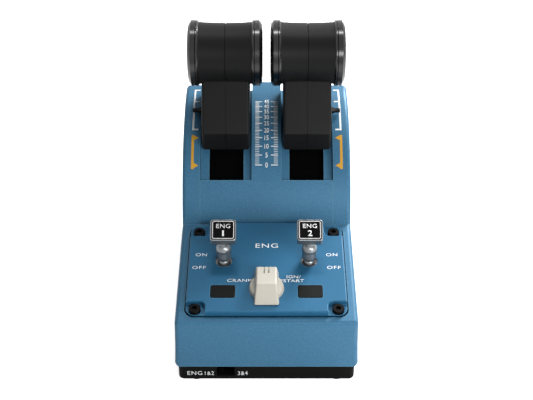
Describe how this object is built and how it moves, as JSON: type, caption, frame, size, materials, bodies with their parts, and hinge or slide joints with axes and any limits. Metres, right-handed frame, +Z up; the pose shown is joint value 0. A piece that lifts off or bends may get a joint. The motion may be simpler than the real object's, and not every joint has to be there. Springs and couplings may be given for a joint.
{
  "type": "throttle quadrant",
  "caption": "Desk throttle quadrant with hinged thrust levers on an arched quadrant, engine toggles, selector knob and push buttons on a sloping panel.",
  "frame": {"origin": "on the table, under the middle of the casing", "axes": "+X to the pilot's right, +Y away from the pilot, +Z up"},
  "size_m": [0.128, 0.2, 0.2036],
  "materials": {
    "blue_paint": "metallic blue paint on moulded plastic, satin",
    "black_plastic": "matt moulded",
    "handle_black": "fine matt grain",
    "gloss_black": "polished",
    "red_plastic": "satin",
    "grey_plastic": "moulded",
    "ivory_plastic": "satin",
    "satin_metal": "satin",
    "steel": "zinc plated",
    "brass": "turned brass",
    "rubber": "matt",
    "circuit_board": "solder resist"
  },
  "bodies": {
    "casing": {"base_tray": "black_plastic", "rubber_feet": "rubber", "mount_inserts": "brass", "case_screws": "steel", "front_housing": "blue_paint", "left_side_shell": "blue_paint", "right_side_shell": "blue_paint", "rear_cover": "blue_paint", "quadrant_cover": "blue_paint", "left_slot_frame": "blue_paint", "right_slot_frame": "blue_paint", "control_plate": "blue_paint", "plate_screws": "black_plastic", "left_bracket": "grey_plastic", "center_bracket": "grey_plastic", "right_bracket": "grey_plastic", "lever_axle": "steel", "axle_clips": "steel", "axle_spacers": "grey_plastic", "friction_shoes": "rubber", "friction_screws": "steel", "detent_arms": "grey_plastic", "detent_rollers": "steel", "main_board": "circuit_board", "port_board": "circuit_board", "jack_sockets": "black_plastic", "usb_socket": "steel", "sensor_boards": "circuit_board", "switch_board": "circuit_board", "toggle_bodies": "black_plastic", "button_switches": "grey_plastic", "selector_switch": "grey_plastic", "slide_switch_body": "black_plastic"},
    "left_lever": {"left_handle_outer": "handle_black", "left_handle_inner": "handle_black", "left_outer_ring": "gloss_black", "left_inner_ring": "gloss_black", "left_lever_arm": "handle_black", "left_dust_shutter": "handle_black", "left_detent_sector": "steel", "left_sensor_magnet": "steel"},
    "left_disconnect": {"left_disconnect_button": "red_plastic"},
    "left_reverse": {"left_reverse_trigger": "handle_black"},
    "left_toggle": {"left_engine_toggle": "satin_metal"},
    "left_button": {"left_push_button": "black_plastic"},
    "right_lever": {"right_handle_outer": "handle_black", "right_handle_inner": "handle_black", "right_outer_ring": "gloss_black", "right_inner_ring": "gloss_black", "right_lever_arm": "handle_black", "right_dust_shutter": "handle_black", "right_detent_sector": "steel", "right_sensor_magnet": "steel"},
    "right_disconnect": {"right_disconnect_button": "red_plastic"},
    "right_reverse": {"right_reverse_trigger": "handle_black"},
    "right_toggle": {"right_engine_toggle": "satin_metal"},
    "right_button": {"right_push_button": "black_plastic"},
    "selector": {"selector_knob": "ivory_plastic"},
    "slide_switch": {"slide_switch_knob": "black_plastic"}
  },
  "joints": [
    {"name": "left_throttle", "type": "hinge", "parent": "casing", "child": "left_lever", "pos_m": [-0.03, 0.087, 0.0364], "axis": [1, 0, 0], "range_deg": [-6.4, 29]},
    {"name": "left_disconnect_press", "type": "slide", "parent": "left_lever", "child": "left_disconnect", "axis": [1, 0, 0], "range_m": [0, 0.0014], "stiffness_N_per_m": 500, "springref_m": -0.002},
    {"name": "left_reverse_lift", "type": "slide", "parent": "left_lever", "child": "left_reverse", "axis": [0, -0.1154, 0.9933], "range_m": [0, 0.006], "stiffness_N_per_m": 250, "springref_m": -0.004},
    {"name": "left_toggle_hinge", "type": "hinge", "parent": "casing", "child": "left_toggle", "pos_m": [-0.0302, -0.04835, 0.06785], "axis": [1, 0, 0], "range_deg": [0, 28]},
    {"name": "left_button_press", "type": "slide", "parent": "casing", "child": "left_button", "axis": [0, 0.165, -0.9863], "range_m": [0, 0.0008], "stiffness_N_per_m": 500, "springref_m": -0.002},
    {"name": "right_throttle", "type": "hinge", "parent": "casing", "child": "right_lever", "pos_m": [0.03, 0.087, 0.0364], "axis": [1, 0, 0], "range_deg": [-6.4, 29]},
    {"name": "right_disconnect_press", "type": "slide", "parent": "right_lever", "child": "right_disconnect", "axis": [-1, 0, 0], "range_m": [0, 0.0014], "stiffness_N_per_m": 500, "springref_m": -0.002},
    {"name": "right_reverse_lift", "type": "slide", "parent": "right_lever", "child": "right_reverse", "axis": [0, -0.1154, 0.9933], "range_m": [0, 0.006], "stiffness_N_per_m": 250, "springref_m": -0.004},
    {"name": "right_toggle_hinge", "type": "hinge", "parent": "casing", "child": "right_toggle", "pos_m": [0.0302, -0.04835, 0.06785], "axis": [1, 0, 0], "range_deg": [0, 28]},
    {"name": "right_button_press", "type": "slide", "parent": "casing", "child": "right_button", "axis": [0, 0.165, -0.9863], "range_m": [0, 0.0008], "stiffness_N_per_m": 500, "springref_m": -0.002},
    {"name": "selector_turn", "type": "hinge", "parent": "casing", "child": "selector", "pos_m": [0, -0.07439, 0.06475], "axis": [0, -0.165, 0.9863], "range_deg": [-60, 60]},
    {"name": "slide_switch_shift", "type": "slide", "parent": "casing", "child": "slide_switch", "axis": [1, 0, 0], "range_m": [0, 0.0062]}
  ]
}
